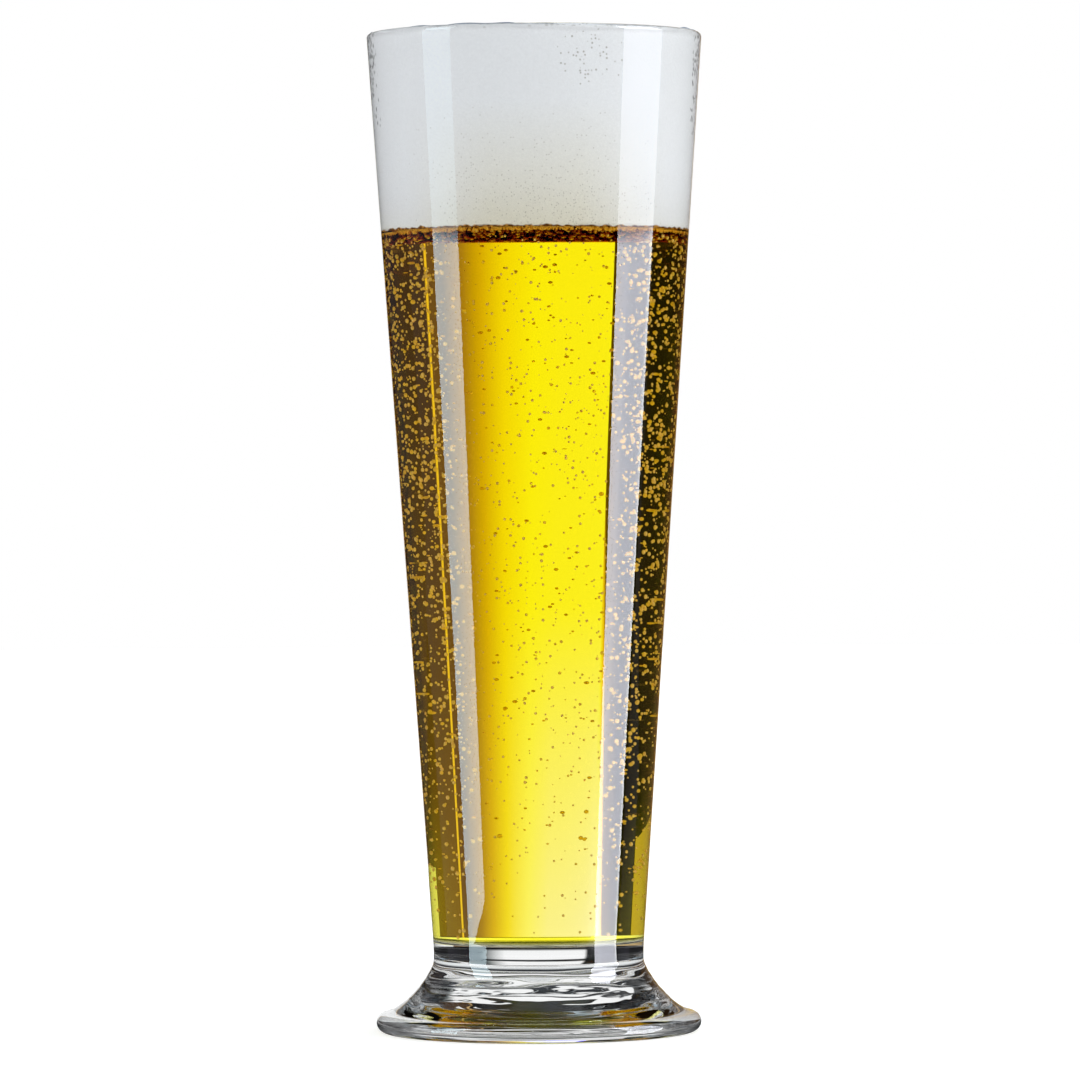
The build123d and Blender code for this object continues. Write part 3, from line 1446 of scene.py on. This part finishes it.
    def floor(self) -> None:
        """Lay a round floor."""
        shape = bmesh.new()
        bmesh.ops.create_circle(shape, cap_ends=True, segments=96, radius=self.floor_radius)
        mesh = finished_mesh("floor", shape)
        mesh.materials.append(self.floor_material())
        floor = placed("floor", mesh)
        floor.visible_glossy = False

    def cards(self) -> None:
        """Panels behind, a low wall round the foot's back, a dark cove in front, a soft box each side."""
        self.back_panels()
        self.low_wall()
        side, middle = (0.17, 0.165, 0.20), (0.01, 0.01, 0.012)
        Card(
            "cove_front",
            round_path(self.cove_reach, even_steps(-self.cove_turn, self.cove_turn, self.bend_steps)),
            -1.0,
            1.0,
            flats((0.0, 0.22, side), (0.3, 0.7, middle), (0.78, 1.0, side)),
            seen_inside=0.02,
        ).build(through=False)
        cool, lilac, blank = (0.72, 0.91, 1.0), (0.88, 0.90, 1.0), (0.0, 0.0, 0.0)
        dull, duller, bright = (0.8, 0.82, 0.92), (0.66, 0.68, 0.76), (0.9, 0.92, 0.96)
        even = flats((0.0, 1.0, cool))
        fading = ((0.0, lilac), (0.08, dull), (0.607, duller))
        edged = fading + ((0.65, bright), (0.707, bright), (0.716, blank))
        self.soft_box("soft_box_left", (-58.7, -81.5), -0.135, (0.092, 0.108), even, power=7.8, on_matt=2.0)
        self.soft_box(
            "soft_box_right",
            (63.4, 97.5),
            -0.4,
            (0.094, 0.121),
            edged,
            power=12.2,
            on_matt=3.0,
            lean=-0.737,
        )
        Card(
            "soft_glow",
            round_path(self.box_reach, (46.0, 63.3)),
            -0.4,
            0.1,
            ((0.0, blank), (0.4, (0.08, 0.08, 0.09)), (1.0, (0.9, 0.92, 1.0))),
            ((0.0, WHITE), (0.46, WHITE), (0.66, blank)),
            mirrored=2.5,
            seen_inside=0.05,
        ).build(through=False)

    def panel(
        self,
        name: str,
        ends: Point,
        columns: Stops,
        rows: Stops = EVEN,
        drift: float = 0.0,
        mirrored: float = 1.0,
        away: float | None = None,
        inside: float = 0.6,
        plain_echo: bool = False,
    ) -> None:
        """Stand one panel behind the glass.

        Args:
            name: Name of the panel.
            ends: Where it starts and ends across the back; its columns are given as places between them.
            columns: Places across the back, and their colours.
            rows: Heights above the floor, and their colours.
            drift: How far the columns move towards the start over a metre of height.
            mirrored: How bright it is in the outside of the glass.
            away: How far behind the glass it stands, where that isn't the usual distance.
            inside: How bright it is in reflections inside the glass.
            plain_echo: Whether reflections show its columns alone.
        """
        start, end = ends
        length = abs(end - start)
        behind = away or self.back
        Card(
            name,
            ((start, behind), (end, behind)),
            0.0,
            self.back_height,
            tuple((abs(place - start) / length, colour) for place, colour in columns),
            shares(rows, self.back_height),
            lean=drift * self.back_height / length,
            mirrored=mirrored,
            seen_through=self.back_glow,
            seen_inside=inside,
            plain_echo=plain_echo,
        ).build()

    def back_panels(self) -> None:
        """A white panel in the middle, brown ones right with a golden slit, black ones left, low wedges."""
        brown, tan, gold = (0.15, 0.075, 0.022), (0.11, 0.06, 0.026), (0.9, 0.6, 0.25)
        dark, black, shade = (0.009, 0.007, 0.006), (0.012, 0.01, 0.011), (0.1, 0.1, 0.1)
        lemon, amber = (1.0, 1.0, 0.5), (0.93, 0.80, 0.07)
        honey, toffee = (0.70, 0.48, 0.04), (0.40, 0.23, 0.02)
        cocoa, cinnamon = (0.2, 0.11, 0.048), (0.17, 0.095, 0.04)
        glint, rust, straw = (0.85, 0.55, 0.2), (0.12, 0.07, 0.03), (0.6, 0.43, 0.22)
        ice, mist = (1.0, 1.0, 9.0), (1.0, 1.0, 6.0)
        foot = ((0.0, shade), (0.006, shade), (0.01, WHITE), (0.03, WHITE))
        fall = foot + ((0.09, (0.56, 0.52, 0.5)), (0.16, (0.28, 0.25, 0.24)))
        deep = foot + ((0.09, (0.36, 0.34, 0.3)), (0.16, (0.1, 0.09, 0.09)))
        cold = ((0.003, dark), (0.005, WHITE), (0.009, ice), (0.02, ice), (0.06, mist), (0.095, WHITE))
        far_cold = ((0.002, ice), (0.052, mist), (0.09, WHITE))
        pale_part = ((-0.006, WHITE), (0.0085, lemon), (0.0245, amber))
        fading = pale_part + ((0.0375, honey), (0.0505, toffee), (0.069, brown))
        slit = ((0.0775, brown), (0.0787, brown), (0.0792, gold), (0.0824, gold), (0.0829, brown))
        edge = ((-0.1265, WHITE), (-0.134, glint), (-0.138, rust), (-0.18, dark))
        white_from, white_to, fading_to, slit_to, brown_to = -0.0462, -0.012, 0.0775, 0.0845, 0.2
        edge_from, edge_to = -0.05, -0.22
        far_right, far_left, far = self.back_reach, -2 * self.back_reach, self.far_back
        whites = flats((white_from, white_to, WHITE))
        browns = ((slit_to, cocoa), (0.17, cinnamon), (brown_to, tan))
        blacks = ((edge_to, dark), (-0.4, black), (far_left, black))
        faint = {"inside": 0.03, "plain_echo": True}
        faint_edge = {"inside": 0.06, "plain_echo": True}
        self.panel("panel_white", (white_from, white_to), whites, cold, **faint)
        self.panel("panel_fading", (white_to, fading_to), fading, cold, drift=0.05, **faint)
        self.panel("panel_slit", (fading_to, slit_to), slit)
        self.panel("panel_brown", (slit_to, brown_to), browns, fall)
        self.panel("panel_umber", (brown_to, far_right), flats((brown_to, far_right, tan)), deep)
        self.panel("panel_edge", (edge_from, edge_to), edge, far_cold, drift=0.2, away=far, **faint_edge)
        self.panel("panel_black", (edge_to, far_left), blacks, mirrored=8.0, away=far)
        wedges = (
            ("wedge_right", (0.18, 1.3), self.back, (0.038, 0.106), WHITE),
            ("wedge_left", (-0.3, -2.2), self.far_back, (0.045, 0.19), straw),
        )
        for name, ends, behind, tops, colour in wedges:
            path = tuple((end, behind - MM) for end in ends)
            even = flats((0.0, 1.0, colour))
            card = Card(name, path, 0.0, tops[0], even, seen_inside=0.1, high_end=tops[1])
            card.build(in_mirror=False)

    def low_wall(self) -> None:
        """A low dark wall close round the back of the foot, with a white window straight behind it.

        Its rows and heights are given in millimetres, and the sides of its window in degrees.
        """
        widest, high, drink_from = self.low_wall_turn, 17.8, 12.5
        ink, slate = (0.012, 0.012, 0.013), (0.15, 0.17, 0.17)
        window = ((-6.2, ink), (-5.6, WHITE), (3.7, WHITE), (7.2, slate), (8.5, ink))
        low_rows = flats((0.0, 2.5, ink), (3.5, 7.6, WHITE), (8.4, 9.6, ink))
        high_rows = flats((10.4, 16.2, WHITE), (16.9, high, ink))
        Card(
            "low_wall",
            round_path(self.low_wall_radius, even_steps(180.0 + widest, 180.0 - widest, self.bend_steps)),
            0.0,
            high * MM,
            tuple((0.5 + angle / (2 * widest), colour) for angle, colour in window),
            shares(low_rows + high_rows, high),
            clear_above=drink_from / high,
        ).build(in_mirror=False)

    def soft_box(
        self,
        name: str,
        angles: Point,
        low: float,
        fade: Point,
        columns: Stops,
        power: float,
        on_matt: float,
        lean: float = 0.0,
    ) -> None:
        """Stand one soft box at the side; it is weaker at the heights where the foam mirrors it.

        Args:
            name: Name of the soft box.
            angles: Angles of its nearer and farther edge from the camera's side, in degrees.
            low: Height of its lower edge.
            fade: Height above which it is weaker, at its nearer and its farther edge.
            columns: Its colours from the nearer to the farther edge.
            power: How bright it is in a mirror.
            on_matt: How bright it is for matt surfaces.
            lean: How far its columns stand askew.
        """
        high = self.box_reach
        tall = high - low
        weak = (0.27, 0.27, 0.275)
        edge = (fade[0] - low) / tall
        back = edge + self.box_weak_height / tall
        Card(
            name,
            round_path(self.box_reach, angles),
            low,
            high,
            columns,
            ((edge - 0.001, WHITE), (edge + 0.004, weak), (back, weak), (back + 0.01, WHITE)),
            lean=lean,
            slope=(fade[1] - fade[0]) / tall,
            mirrored=power,
            seen_inside=0.1,
            on_matt=on_matt,
            hidden=True,
        ).build()

    def camera(self) -> None:
        """A long lens level with the beer, at the photograph's angle."""
        data = bpy.data.cameras.new("camera")
        data.sensor_width = self.sensor
        data.lens = self.sensor * self.distance / self.field_width
        data.clip_start = self.clip
        camera = placed("camera", data)
        camera.location = (0.0, -self.distance, self.eye)
        look = self.aim - camera.location
        turn = look.to_track_quat("-Z", "Y") @ Quaternion((0.0, 0.0, 1.0), math.radians(-self.roll))
        camera.rotation_mode = "QUATERNION"
        camera.rotation_quaternion = turn
        bpy.context.scene.camera = camera

    def build(self) -> None:
        """Set up the whole studio."""
        self.world()
        self.floor()
        self.cards()
        self.camera()
        scene = bpy.context.scene
        scene.view_settings.view_transform = "Standard"
        scene.cycles.max_bounces = 40
        scene.cycles.transmission_bounces = 40
        scene.cycles.glossy_bounces = 16
        scene.cycles.diffuse_bounces = 12


def main() -> None:
    """Build the glass and what it holds, then the studio."""
    logging.basicConfig(level=logging.INFO)
    sizes = Sizes.from_frame()
    grain = grain_group()
    bubbles = BubbleTree(Gas().material())
    builders = (
        Glass(sizes, ClearGlass(grain)),
        Drink(sizes, bubbles, Liquid("beer_liquid")),
        Collar(sizes, bubbles, Liquid("collar_liquid", (220.0, 560.0, 2200.0))),
        FoamHead(sizes, Froth(grain, sizes.collar_top, sizes.height, sizes.mouth_radius)),
    )
    for builder in builders:
        piece = builder.build()
        LOG.info("%s: %d faces", piece.name, len(piece.data.polygons))
    Studio().build()


if __name__ == "__main__":
    main()
